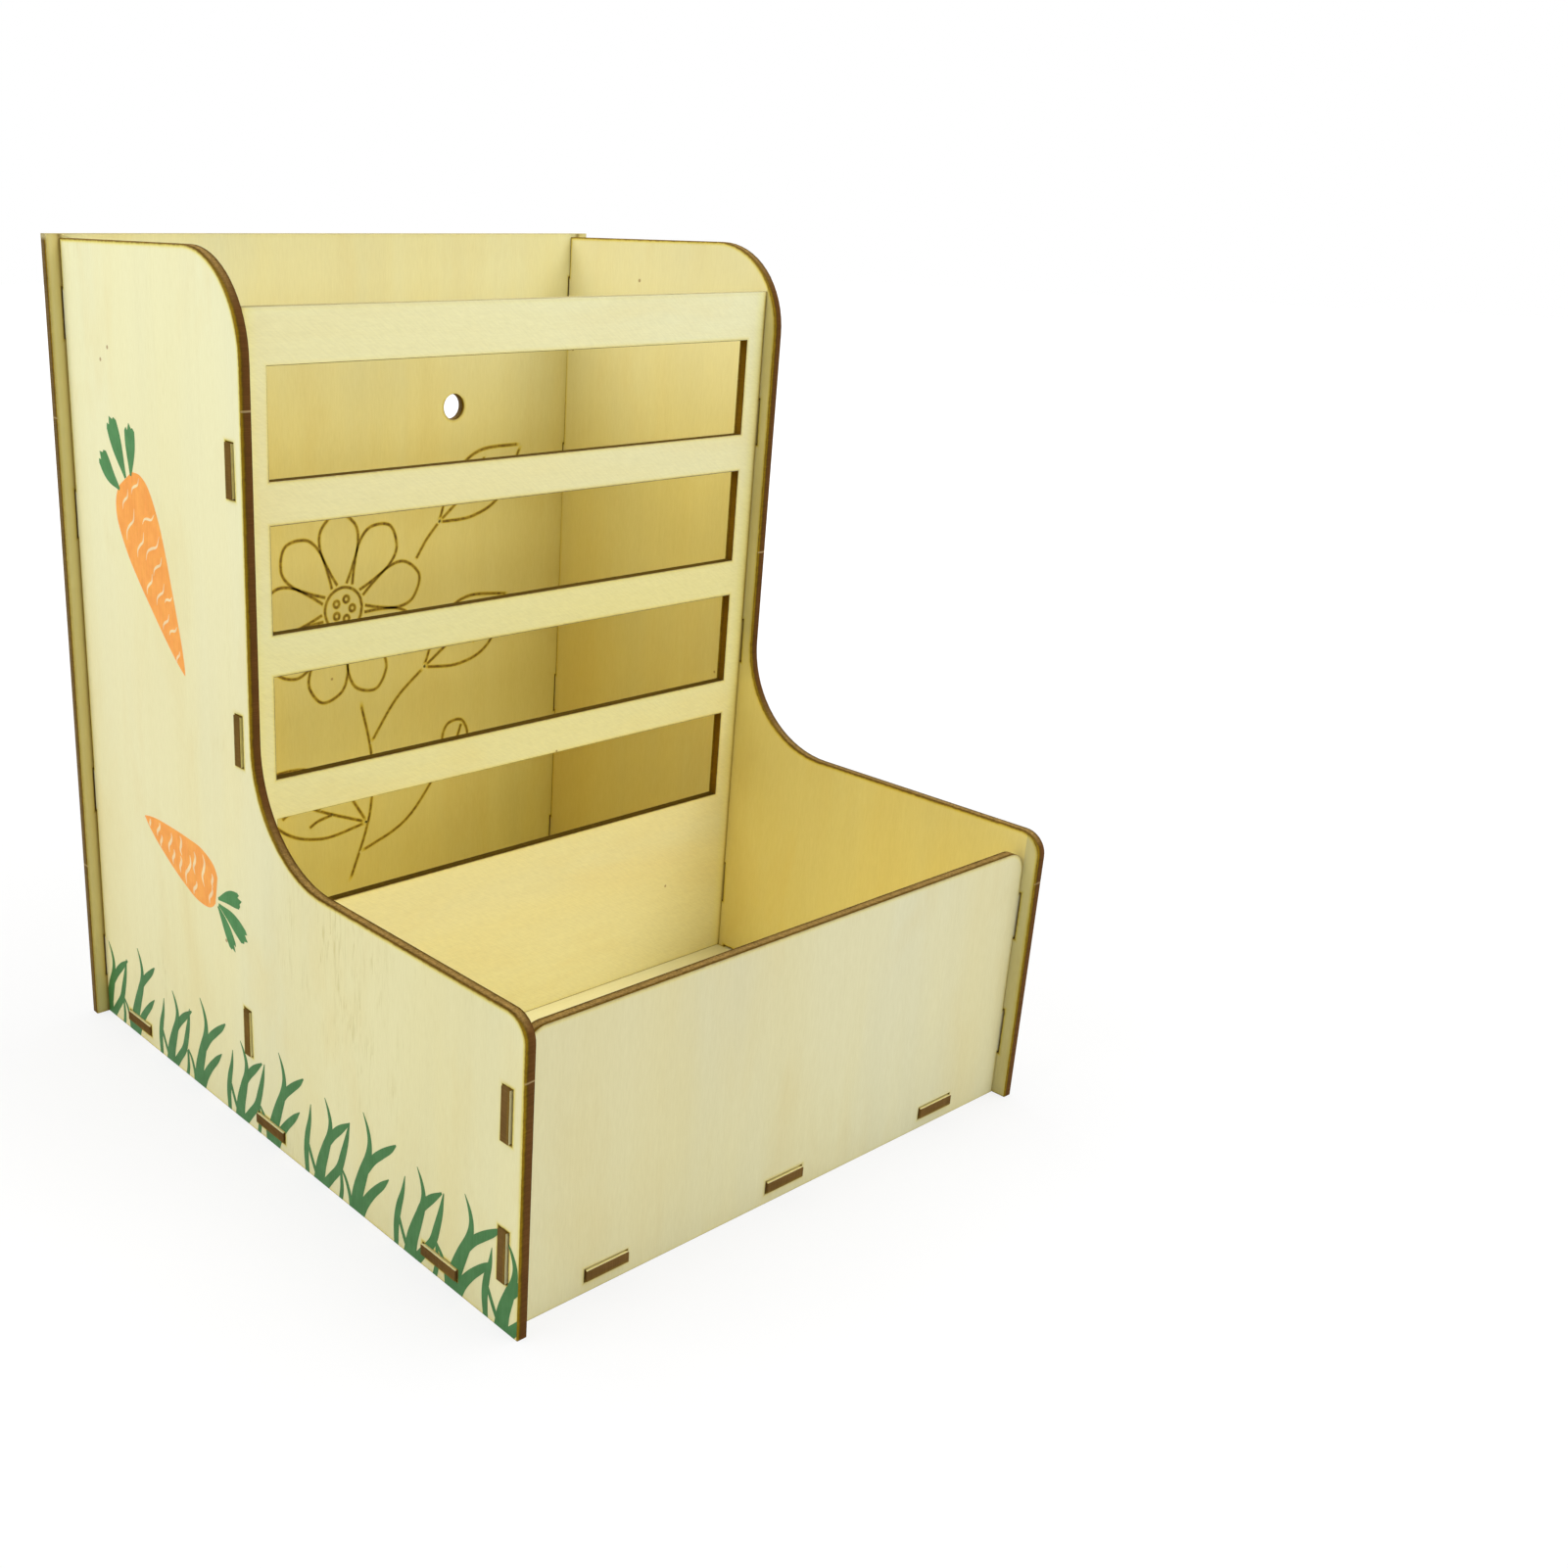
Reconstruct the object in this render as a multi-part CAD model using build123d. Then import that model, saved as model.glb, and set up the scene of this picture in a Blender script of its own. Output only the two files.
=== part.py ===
"""Hay feeder box for small pets: six plywood panels that lock together with tabs and slots.

A tall hay bin stands behind a low open trough. The rack between them has four wide windows, through
which the animal pulls the hay. Millimetres, +Z up. The origin is on the ground under the middle of the
box, the front faces -Y and the box is the same on both sides of X = 0.
"""
from build123d import *

import os

# --- Sheet and joints ---
ply = 2.5            # thickness of the sheet that every panel is cut from
fit = 0.1            # gap between each end of a tab and its slot
play = 0.3           # gap between each face of a tab and its slot
tab_length = 11.6    # of a tab, along the edge that it stands on
tab_proud = 0.6      # how far a tab stands out of the sides and of the front

# --- Sides ---
box_width = 160.0    # over the outer faces of the two sides
side_depth = 173.5   # front edge to rear edge, without the rear tabs
side_height = 199.0
tall_depth = 79.5    # depth of the tall part, round the hay bin
rim_height = 69.5    # of the low part, round the trough
top_corner = 22.0    # radius of the top front corner
sweep = 27.0         # radius of the hollow curve from the tall part to the rim
rim_corner = 5.5     # radius of the front corner of the rim

# --- Panels between the sides ---
recess = 3.6         # of the front and of the rack, behind the edges of the sides in front of them
front_drop = 4.5     # of the top of the front panel, below the rim
front_corner = 5.5   # radius of the two top corners of the front panel
floor_clear = 2.9    # between the ground and the underside of the floor
rack_drop = 11.5     # of the top of the rack, below the top of the sides

# --- Rack windows ---
window_count = 4
window_height = 23.5
slat_height = 9.5    # between two windows
top_rail = 11.8      # above the first window
stile_width = 6.1    # beside each window

# --- Back ---
back_overhang = 3.5  # of the back panel, beyond the outer face of each side
back_rise = 1.0      # of the back panel, above the top of the sides
hole_diameter = 7.0  # of the two holes that the feeder hangs by
hole_spacing = 72.0  # between the centres of the holes
hole_drop = 46.0     # of the centres of the holes, below the top of the back panel

# --- Places of the tabs, to the middle of each ---
rack_tab_drop = 32.5     # of the top tab of the rack, below its top edge
rack_tab_rise = 19.7     # of the low tab of the rack, above its bottom edge
front_tab_pitch = 31.0   # of the two tabs at each end of the front panel
floor_tab_pitch = 65.0   # of the three tabs along each side of the floor
floor_end_pitch = 53.5   # of the three tabs along the front and the rear of the floor
rear_tab_insets = (16.7, 63.8)   # of the rear tabs of a side, from its bottom and from its top

# --- Faces that follow from these sizes ---
front_edge = -(side_depth + ply) / 2
side_rear = front_edge + side_depth
back_face = side_rear + ply
tall_front = side_rear - tall_depth
front_face = front_edge + recess
rack_face = tall_front + recess
side_outer = box_width / 2
side_inner = side_outer - ply
floor_top = floor_clear + ply
rack_top = side_height - rack_drop
front_top = rim_height - front_drop
back_top = side_height + back_rise
rack_middle = (floor_top + rack_top) / 2
floor_middle = (front_face + ply + side_rear) / 2


def block(x, y, z):
    """A box between two limits along each axis."""
    corner = (Align.MIN, Align.MIN, Align.MIN)
    return Pos(x[0], y[0], z[0]) * Box(x[1] - x[0], y[1] - y[0], z[1] - z[0], align=corner)


def tab_span(middle):
    """Limits of a tab along its edge."""
    return middle - tab_length / 2, middle + tab_length / 2


def slot_length(limits):
    """Limits of a slot along the edge that its tab stands on."""
    return limits[0] - fit, limits[1] + fit


def slot_width(limits):
    """Limits of a slot across the sheet that its tab is part of."""
    return limits[0] - play, limits[1] + play


def side_span(hand):
    """Limits along X of the side panel at the left (hand -1) or at the right (hand 1)."""
    return min(hand * side_inner, hand * side_outer), max(hand * side_inner, hand * side_outer)


def rack_tabs():
    """Limits along Y and Z of the tabs of the rack, which pass through the sides."""
    heights = (floor_top + rack_tab_rise, rack_middle, rack_top - rack_tab_drop)
    return [((rack_face, rack_face + ply), tab_span(height)) for height in heights]


def front_tabs():
    """Limits along Y and Z of the tabs of the front panel, which pass through the sides."""
    heights = (front_top / 2 - front_tab_pitch / 2, front_top / 2 + front_tab_pitch / 2)
    return [((front_face, front_face + ply), tab_span(height)) for height in heights]


def floor_side_tabs():
    """Limits along Y and Z of the tabs of the floor, which pass through the sides."""
    places = (floor_middle - floor_tab_pitch, floor_middle, floor_middle + floor_tab_pitch)
    return [(tab_span(place), (floor_clear, floor_top)) for place in places]


def floor_end_tabs():
    """Limits along X of the tabs of the floor, which pass through the front and the back."""
    return [tab_span(place) for place in (-floor_end_pitch, 0, floor_end_pitch)]


def rear_tabs():
    """Limits along Z of the tabs of a side, which pass through the back."""
    low, high = rear_tab_insets
    heights = (low, high, side_height - high, side_height - low)
    return [tab_span(height) for height in heights]


def with_side_tabs(panel, tabs):
    """A panel that lies between the sides, with its tabs added at both ends."""
    reach = side_outer + tab_proud
    for y, z in tabs:
        panel += block((side_inner, reach), y, z)
        panel += block((-reach, -side_inner), y, z)
    return panel


def side_panel(hand):
    """A side: tall round the bin, low round the trough, with a hollow sweep between the two."""
    x = side_span(hand)
    with BuildPart() as panel:
        with BuildSketch(Plane.YZ.offset(x[0])):
            with BuildLine():
                FilletPolyline(
                    (front_edge, 0),
                    (front_edge, rim_height),
                    (tall_front, rim_height),
                    (tall_front, side_height),
                    (side_rear, side_height),
                    radius=[rim_corner, sweep, top_corner],
                )
                Polyline((side_rear, side_height), (side_rear, 0), (front_edge, 0))
            make_face()
        extrude(amount=ply)
    side = panel.part
    for z in rear_tabs():
        side += block(x, (side_rear, back_face), z)
    for y, z in rack_tabs() + front_tabs():
        side -= block(x, slot_width(y), slot_length(z))
    for y, z in floor_side_tabs():
        side -= block(x, slot_length(y), slot_width(z))
    return side


def back_panel():
    """The back: one sheet behind both sides and the floor, with two holes to hang the box by."""
    half = side_outer + back_overhang
    y = (side_rear, back_face)
    back = block((-half, half), y, (0, back_top))
    for z in rear_tabs():
        for hand in (-1, 1):
            back -= block(slot_width(side_span(hand)), y, slot_length(z))
    for x in floor_end_tabs():
        back -= block(slot_length(x), y, slot_width((floor_clear, floor_top)))
    for hand in (-1, 1):
        centre = Pos(hand * hole_spacing / 2, (side_rear + back_face) / 2, back_top - hole_drop)
        back -= centre * Rot(90, 0, 0) * Cylinder(hole_diameter / 2, ply)
    return back


def rack_panel():
    """The rack: four windows above a solid board that parts the bin from the trough."""
    y = (rack_face, rack_face + ply)
    rack = block((-side_inner, side_inner), y, (floor_top, rack_top))
    window_edge = side_inner - stile_width
    for number in range(window_count):
        top = rack_top - top_rail - number * (window_height + slat_height)
        rack -= block((-window_edge, window_edge), y, (top - window_height, top))
    return with_side_tabs(rack, rack_tabs())


def front_panel():
    """The front of the trough, with small round top corners and slots for the floor."""
    y = (front_face, front_face + ply)
    front = block((-side_inner, side_inner), y, (0, front_top))
    upper = front.edges().filter_by(Axis.Y).group_by(Axis.Z)[-1]
    front = fillet(upper, front_corner)
    for x in floor_end_tabs():
        front -= block(slot_length(x), y, slot_width((floor_clear, floor_top)))
    return with_side_tabs(front, front_tabs())


def floor_panel():
    """The floor: one sheet under the trough and the bin, with tabs on all four sides."""
    z = (floor_clear, floor_top)
    floor = block((-side_inner, side_inner), (front_face + ply, side_rear), z)
    for x in floor_end_tabs():
        floor += block(x, (front_face - tab_proud, front_face + ply), z)
        floor += block(x, (side_rear, back_face), z)
    return with_side_tabs(floor, floor_side_tabs())


panels = {
    "side_left": side_panel(-1),
    "side_right": side_panel(1),
    "back_panel": back_panel(),
    "rack_panel": rack_panel(),
    "front_panel": front_panel(),
    "floor_panel": floor_panel(),
}

os.makedirs("parts", exist_ok=True)
for name, panel in panels.items():
    export_step(panel, f"parts/{name}.step")
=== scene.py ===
import math
import random

import bmesh
import bpy
from mathutils import Matrix, Vector
from mathutils.bvhtree import BVHTree


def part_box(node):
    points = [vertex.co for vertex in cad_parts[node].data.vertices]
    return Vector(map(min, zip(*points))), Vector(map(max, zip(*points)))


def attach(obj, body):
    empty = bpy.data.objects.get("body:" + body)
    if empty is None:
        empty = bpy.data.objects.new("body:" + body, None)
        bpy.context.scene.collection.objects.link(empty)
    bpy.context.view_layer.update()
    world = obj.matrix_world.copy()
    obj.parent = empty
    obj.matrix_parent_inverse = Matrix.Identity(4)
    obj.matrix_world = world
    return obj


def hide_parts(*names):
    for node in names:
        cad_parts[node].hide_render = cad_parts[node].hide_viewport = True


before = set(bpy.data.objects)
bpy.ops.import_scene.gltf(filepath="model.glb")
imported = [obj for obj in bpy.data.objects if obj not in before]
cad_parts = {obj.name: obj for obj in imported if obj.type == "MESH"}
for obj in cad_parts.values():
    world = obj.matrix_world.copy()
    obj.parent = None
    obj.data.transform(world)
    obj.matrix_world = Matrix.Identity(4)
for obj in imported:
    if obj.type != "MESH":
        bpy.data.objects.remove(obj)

bl_info = {
    "name": "Hay Feeder Box",
    "version": (1, 0, 0),
    "blender": (4, 5, 0),
    "location": "View3D > Sidebar > Hay Feeder",
    "description": "Finishes a plywood hay feeder: veneer, laser-cut edges, printed sides, engraved back",
    "category": "Object",
}

# Each side's node, name and hand.
SIDES = (("side_left", "left", -1), ("side_right", "right", 1))
# How far along an axis the normal of a face points, where the face lies in the sheet and isn't a cut.
FLAT = 0.99
# Rings round a cut, as shares of the halo, and the share of the scorch where a cut faces down.
HALO_RINGS = (0.2, 0.5, 1.0)
UNDERCUT = 0.4
# Room left beyond a face before a point counts as past it.
PAST = 0.0001
# Heights between which the painted shade on the strips beside the rack fades in.
STRIP_FOOT = (0.085, 0.1)
# Points nearer than this are merged in a mesh, and in an outline.
MERGE = 1e-6
CLOSE = 2e-5
# Room between the grass and the ends of a side, and the height where it is cut off below.
GRASS_ROOM = 0.00015
GRASS_FOOT = 0.00012
# Faces of a sheet within this angle of each other become one, and within the other one are shaded smooth.
SAME_PLANE = math.radians(0.4)
SOFT = math.radians(30)
# How dark a burnt line is, from one edge of its scorch to the other.
LINE_LEVELS = (0.0, 0.88, 0.92, 0.88, 0.0)
# Tabs that end flush with the back are past it from this far inside its outer face.
TAB_END = 0.0005
# Place of the back's figure in the noise.
BACK_SHIFT = (2.2, 0.35, 0.15)
# Name, place and width of each lamp.
LAMPS = (
    ("Before", (0.2, -1.3, 0.6), 0.9),
    ("Behind", (0.0, 0.45, 1.3), 1.0),
    ("Rear", (0.0, 1.3, 0.6), 0.9),
    ("Left", (-0.95, 0.25, 0.85), 0.9),
    ("Right", (1.3, 0.3, 0.5), 0.9),
    ("Above", (0.5, -0.3, 1.2), 0.9),
)
LAMP_AIM = Vector((0.0, 0.0, 0.09))
WHITE = (1.0, 1.0, 1.0, 1.0)
# The camera: its place, its turn about Z, about X and about its own axis in degrees, lens and shift.
CAMERA_PLACE = (-0.25332, -0.28826, 0.20679)
CAMERA_TURN = ((-37.672, "Z"), (90 - 19.936, "X"), (0.697, "Z"))
CAMERA_LENS = 37.774
CAMERA_SHIFT = (0.21488, 0.01247)


def shade(red, green, blue):
    """A colour given as screen values from 0 to 255, in linear light."""
    values = (channel / 255 for channel in (red, green, blue))
    return tuple(v / 12.92 if v <= 0.04045 else ((v + 0.055) / 1.055) ** 2.4 for v in values)


def colour_property(name, description, default):
    """A colour that shows as a swatch in the panel."""
    return bpy.props.FloatVectorProperty(
        name=name, description=description, subtype="COLOR", size=3, min=0, max=1, default=default
    )


def length_property(name, description, default):
    """A length in metres."""
    return bpy.props.FloatProperty(
        name=name, description=description, unit="LENGTH", precision=5, min=0, default=default
    )


def power_property(name, description, default):
    """The power of a lamp, in watts."""
    return bpy.props.FloatProperty(name=name, description=description, unit="POWER", min=0, default=default)


class FeederSheetSettings(bpy.types.PropertyGroup):
    """The plywood sheet that every panel is cut from."""

    arris: length_property("Arris", "Width of the charred corner between a face and a cut edge", 0.0001)
    halo: length_property("Scorch halo", "How far the scorch reaches over the face from a cut", 0.001)
    pale: colour_property("Pale veneer", "Lightest tone of the face veneer", shade(241, 236, 190))
    warm: colour_property("Warm veneer", "Yellower bands in the face veneer", shade(238, 228, 170))
    cool: colour_property("Cool veneer", "Greyer bands in the face veneer", shade(231, 228, 190))
    tan: colour_property("Tan cloud", "Faint brown clouds in the face veneer", shade(234, 220, 160))
    # deep and smoked tint the inner faces with painted shade and interreflection, smoked low down.
    inner_shade_tint: colour_property("Inner veneer", "Tint of the yellower inner veneer", (0.92, 0.84, 0.52))
    low_inner_shade: colour_property("Shaded veneer", "Tint of the sides' inner veneer, low down", (0.95, 0.85, 0.52))
    # sooty is painted shade on the sides' inner strips before the rack and the front.
    strip_shade: colour_property("Shadowed veneer", "Tint of the strips before rack and front", (0.71, 0.68, 0.53))
    gold: colour_property("Golden edge", "A cut edge where the laser went in", shade(158, 126, 26))
    olive: colour_property("Olive edge", "A cut edge beside its golden part", shade(98, 72, 24))
    char: colour_property("Charred edge", "Most of a cut edge", shade(104, 69, 32))
    # core and umber colour the middle of a cut edge that faces up: painted light from above, with the middle
    # ply; umber is darker, for the rack.
    core: colour_property("Core ply", "Lighter middle of a cut edge that faces up", shade(142, 113, 60))
    bronze: colour_property("Bronze edge", "Most of a cut edge of the rack", shade(127, 91, 15))
    umber: colour_property("Umber edge", "Middle of a cut edge of the rack that faces up", shade(86, 66, 11))
    ashen: colour_property("Ashen edge", "Most of a cut edge of the back", shade(126, 102, 62))
    tab_end_tone: colour_property("Tab end", "End of a tab, lighter than other cut edges", shade(127, 98, 53))


class FeederPrintSettings(bpy.types.PropertyGroup):
    """The coloured prints on the outer faces of the sides."""

    ink: length_property("Ink", "Thickness of the printed ink", 0.00004)
    green: colour_property("Grass green", "Ink of the grass", shade(57, 115, 54))
    leafy: colour_property("Leaf green", "Ink of the carrot tops", shade(63, 128, 64))
    orange: colour_property("Carrot orange", "Ink of the carrots", shade(253, 164, 66))
    cream: colour_property("Cream", "Ink of the wrinkles on the carrots", shade(252, 220, 166))
    tuft_pitch: length_property("Tuft pitch", "From one tall tuft of grass to the next", 0.0345)


class FeederEngravingSettings(bpy.types.PropertyGroup):
    """The burnt line drawing on the inside of the back."""

    line: length_property("Line", "Width of a burnt line", 0.00062)
    glow: length_property("Glow", "Width of the line with the scorch on both sides of it", 0.0017)
    depth: length_property("Relief", "Height of the line over the veneer", 0.00002)


class FeederStageSettings(bpy.types.PropertyGroup):
    """The floor, the lamps and the camera."""

    floor: colour_property("Floor", "Colour of the floor", (0.6, 0.6, 0.6))
    before: power_property("Before", "Lamp in front of the box", 6.1)
    behind: power_property("Behind", "Lamp above, behind the box", 8.7)
    rear: power_property("Rear", "Low lamp far behind the box", 1.2)
    left: power_property("Left", "Lamp on the left", 7.8)
    right: power_property("Right", "Low lamp on the right", 3.4)
    above: power_property("Above", "Lamp above, on the right", 9.7)
    ambient: bpy.props.FloatProperty(
        name="Ambient", description="Strength of the light from all around", default=0.318
    )


# --- Selection and meshes ---


def select_only(*pieces):
    """Deselects everything but these objects and makes the first one active."""
    if bpy.context.object and bpy.context.object.mode != "OBJECT":
        bpy.ops.object.mode_set(mode="OBJECT")
    bpy.ops.object.select_all(action="DESELECT")
    for piece in pieces:
        piece.select_set(True)
    bpy.context.view_layer.objects.active = pieces[0]


def edit_all(piece):
    """Opens a piece in edit mode, with all of it selected."""
    select_only(piece)
    bpy.ops.object.mode_set(mode="EDIT")
    bpy.ops.mesh.select_all(action="SELECT")


def turn_outwards(piece):
    """Turns the faces of a closed piece outwards."""
    edit_all(piece)
    bpy.ops.mesh.normals_make_consistent(inside=False)
    bpy.ops.object.mode_set(mode="OBJECT")


def cut_to_triangles():
    """Selects all of the piece in edit mode, cuts it into triangles and leaves edit mode."""
    bpy.ops.mesh.select_all(action="SELECT")
    bpy.ops.mesh.quads_convert_to_tris(quad_method="BEAUTY", ngon_method="BEAUTY")
    bpy.ops.object.mode_set(mode="OBJECT")


def select_faces(piece, wanted):
    """In edit mode, selects the faces for which wanted(normal) is true."""
    bpy.ops.mesh.select_mode(type="FACE")
    bpy.ops.mesh.select_all(action="DESELECT")
    mesh = bmesh.from_edit_mesh(piece.data)
    for face in mesh.faces:
        face.select_set(wanted(face.normal))
    bmesh.update_edit_mesh(piece.data)


def join(name, pieces):
    """Joins pieces into one object of that name."""
    select_only(*pieces)
    if len(pieces) > 1:
        bpy.ops.object.join()
    whole = bpy.context.view_layer.objects.active
    whole.name = name
    whole.data.name = name
    return whole


def settle(piece, slot, *materials):
    """Gives a finished piece its materials, and lets it ride on the box. slot is not used."""
    for number, material in enumerate(materials):
        if number < len(piece.data.materials):
            piece.data.materials[number] = material
        else:
            piece.data.materials.append(material)
    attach(piece, "root")
    return piece


def thickness_axis(node):
    """The axis across the sheet of a panel: 0, 1 or 2."""
    low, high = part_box(node)
    return min(range(3), key=lambda axis: high[axis] - low[axis])


def sheet_copy(node, settings):
    """A merged copy of a panel, with its arrises broken and fine rings round every cut.

    The rings carry the scorch, from 1 at the cut to 0 at the edge of the halo, and less above a cut that
    faces down. Every point carries its depth across the sheet, from 0 to 1.
    """
    axis = thickness_axis(node)
    low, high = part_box(node)
    piece = bpy.data.objects.new(node + "_sheet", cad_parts[node].data.copy())
    bpy.context.scene.collection.objects.link(piece)
    edit_all(piece)
    bpy.ops.mesh.remove_doubles(threshold=MERGE)
    bpy.ops.mesh.dissolve_limited(angle_limit=SAME_PLANE)

    bpy.ops.mesh.select_mode(type="EDGE")
    bpy.ops.mesh.select_all(action="DESELECT")
    mesh = bmesh.from_edit_mesh(piece.data)
    for edge in mesh.edges:
        if len(edge.link_faces) == 2:
            slopes = sorted(abs(face.normal[axis]) for face in edge.link_faces)
            edge.select_set(slopes[0] < 0.5 and slopes[1] > FLAT)
    bmesh.update_edit_mesh(piece.data)
    bpy.ops.mesh.bevel(
        offset=settings.arris, offset_type="OFFSET", segments=1, affect="EDGES", clamp_overlap=True
    )

    select_faces(piece, lambda normal: abs(normal[axis]) > FLAT)
    reached = 0.0
    for share in HALO_RINGS:
        width = settings.halo * share
        bpy.ops.mesh.inset(thickness=width - reached, depth=0, use_boundary=True, use_even_offset=True)
        reached = width
    cut_to_triangles()
    bpy.ops.object.shade_smooth_by_angle(angle=SOFT)

    polygons = piece.data.polygons
    cut = [list(p.vertices) for p in polygons if abs(p.normal[axis]) < FLAT]
    tree = BVHTree.FromPolygons([v.co for v in piece.data.vertices], cut)
    scorch = piece.data.attributes.new("scorch", "FLOAT", "POINT")
    across = piece.data.attributes.new("across", "FLOAT", "POINT")
    for number, vertex in enumerate(piece.data.vertices):
        _, normal, _, away = tree.find_nearest(vertex.co)
        share = UNDERCUT if normal.z < -0.5 else 1.0
        scorch.data[number].value = share * max(0.0, 1.0 - away / settings.halo)
        across.data[number].value = (vertex.co[axis] - low[axis]) / (high[axis] - low[axis])
    for polygon in polygons:
        polygon.material_index = 0 if abs(polygon.normal[axis]) > FLAT else 1
    return piece


def finish_panel(name, settings, face, edge):
    """Puts a finished sheet with that veneer and cut edge in the place of a panel."""
    piece = sheet_copy(name, settings)
    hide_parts(name)
    settle(piece, name.split("_")[0] + "_ply", face, edge)


# --- Node trees ---


def node(kind, inputs=(), tree=None, **settings):
    """Adds a node to a tree, or to that of its inputs, sets its properties, and sets or links its inputs."""
    inputs = dict(inputs)
    sockets = [value for value in inputs.values() if isinstance(value, bpy.types.NodeSocket)]
    tree = tree or sockets[0].id_data
    made = tree.nodes.new("ShaderNode" + kind)
    for key, value in settings.items():
        setattr(made, key, value)
    for key, value in inputs.items():
        if isinstance(value, bpy.types.NodeSocket):
            tree.links.new(value, made.inputs[key])
        else:
            made.inputs[key].default_value = value
    return made


def new_material(name):
    """An empty principled material, its tree and its surface node."""
    material = bpy.data.materials.new(name)
    material.use_nodes = True
    return material, material.node_tree, material.node_tree.nodes["Principled BSDF"]


def place_in_sheet(tree):
    """Where a point is in the box, in metres."""
    return node("TexCoord", tree=tree).outputs["Object"]


def streaks(place, size, shift, detail=3.0, distortion=0.0, turn=(0.0, 0.0, 0.0)):
    """Noise whose grains are as large as size along X, Y and Z."""
    grain = {"Vector": place, "Location": shift, "Rotation": turn, "Scale": size}
    mapped = node("Mapping", grain, vector_type="TEXTURE").outputs[0]
    look = {"Vector": mapped, "Scale": 1.0, "Detail": detail, "Roughness": 0.55, "Distortion": distortion}
    return node("TexNoise", look).outputs["Fac"]


def spread(value, low, high, to_low=0.0, to_high=1.0):
    """Stretches a value between two limits, and clips it to them."""
    limits = {"Value": value, "From Min": low, "From Max": high, "To Min": to_low, "To Max": to_high}
    return node("MapRange", limits, clamp=True).outputs[0]


def reckon(operation, first, second):
    """One sum of two values."""
    return node("Math", {0: first, 1: second}, operation=operation).outputs[0]


def mix(factor, first, second, mode="MIX"):
    """Mixes two colours."""
    inputs = {0: factor}
    for key, colour in ((6, first), (7, second)):
        inputs[key] = colour if isinstance(colour, bpy.types.NodeSocket) else (*colour, 1.0)
    return node("Mix", inputs, data_type="RGBA", blend_type=mode).outputs[2]


def tinted(colour, tint):
    """A colour times a tint."""
    return mix(1.0, colour, tint, "MULTIPLY")


def ramp(value, stops):
    """A colour ramp from (position, colour) stops."""
    made = node("ValToRGB", {"Fac": value})
    elements = made.color_ramp.elements
    while len(elements) < len(stops):
        elements.new(0.5)
    for element, (position, colour) in zip(elements, stops):
        element.position = position
        element.color = (*colour, 1.0)
    return made.outputs["Color"]


def grey(level):
    """A neutral colour."""
    return (level, level, level)


def figured(colour, figure, low, dark, high, light=1.0):
    """Tints a colour from dark to light, each a tint or a level, where a figure goes from low to high."""
    tints = [tint if isinstance(tint, tuple) else grey(tint) for tint in (dark, light)]
    return tinted(colour, ramp(figure, ((low, tints[0]), (high, tints[1]))))


def finish_surface(surface, colour, figure, rough, gloss, strength, depth, height):
    """Links a colour, a roughness that follows a figure, and bumps, and sets the gloss."""
    bump = node("Bump", {"Strength": strength, "Distance": depth, "Height": height}).outputs[0]
    links = colour.id_data.links
    links.new(colour, surface.inputs["Base Color"])
    links.new(spread(figure, 0.3, 0.7, *rough), surface.inputs["Roughness"])
    links.new(bump, surface.inputs["Normal"])
    surface.inputs["Specular IOR Level"].default_value = gloss


def attribute(tree, name):
    """A value that the mesh carries."""
    return node("Attribute", tree=tree, attribute_name=name).outputs["Fac"]


def lengths(grain, along, across):
    """Size of a grain of noise that runs along one axis."""
    return [along if axis == grain else across for axis in range(3)]


def scorch_tint(place, shift):
    """What the scorch beside a cut or in a burnt line does to the veneer, as a colour to multiply with."""
    waver = streaks(place, (0.0011,) * 3, shift, detail=2.0)
    waver = spread(waver, 0.3, 0.7, -0.09, 0.09)
    burnt = attribute(place.id_data, "scorch")
    burnt = reckon("ADD", burnt, reckon("MULTIPLY", waver, burnt))
    stops = (
        (0.0, grey(1.0)),
        (0.24, (0.985, 0.965, 0.82)),
        (0.5, (0.94, 0.88, 0.48)),
        (0.72, (0.75, 0.64, 0.19)),
        (0.88, (0.38, 0.28, 0.06)),
        (1.0, (0.15, 0.095, 0.035)),
    )
    return ramp(burnt, stops)


def part_of(vector, axis):
    """One part of a vector: X, Y or Z."""
    return node("SeparateXYZ", {0: vector}).outputs[axis]


def from_middle(place):
    """Distance to the middle plane of the box."""
    return reckon("ABSOLUTE", part_of(place, "X"), 0.0)


def by_height(place, tints):
    """A tint that changes with height, from (height, tint) pairs, lowest first."""
    low, high = tints[0][0], tints[-1][0]
    stops = [((height - low) / (high - low), tint) for height, tint in tints]
    return ramp(spread(part_of(place, "Z"), low, high), stops)


def joint_scorch_and_shade(place, colour, limit):
    """Darkens a face with painted shade and scorch where it meets a side, at that distance from the middle of
    the box.
    """
    away = reckon("SUBTRACT", from_middle(place), limit)
    away = spread(reckon("ABSOLUTE", away, 0.0), 0.0, 0.004)
    stops = (
        (0.0, (0.38, 0.3, 0.15)),
        (0.09, (0.58, 0.49, 0.28)),
        (0.2, (0.9, 0.84, 0.6)),
        (0.38, (1.0, 0.98, 0.8)),
        (0.6, (1.0, 1.0, 0.9)),
        (1.0, grey(1.0)),
    )
    return tinted(colour, ramp(away, stops))


def outer_strips(place):
    """1 on the strips beside the rack, the front and the sides, outside bin and trough, where painted shade
    goes, and 0 elsewhere.
    """
    depth = part_of(place, "Y")
    beside_sides = reckon("GREATER_THAN", from_middle(place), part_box("side_right")[1].x + PAST)
    beside_rack = reckon("LESS_THAN", depth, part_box("rack_panel")[0].y)
    above_foot = spread(part_of(place, "Z"), *STRIP_FOOT)
    beside_rack = reckon("MULTIPLY", beside_rack, above_foot)
    beside_front = reckon("LESS_THAN", depth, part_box("front_panel")[0].y)
    return reckon("MAXIMUM", reckon("MAXIMUM", beside_rack, beside_front), beside_sides)


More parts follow.
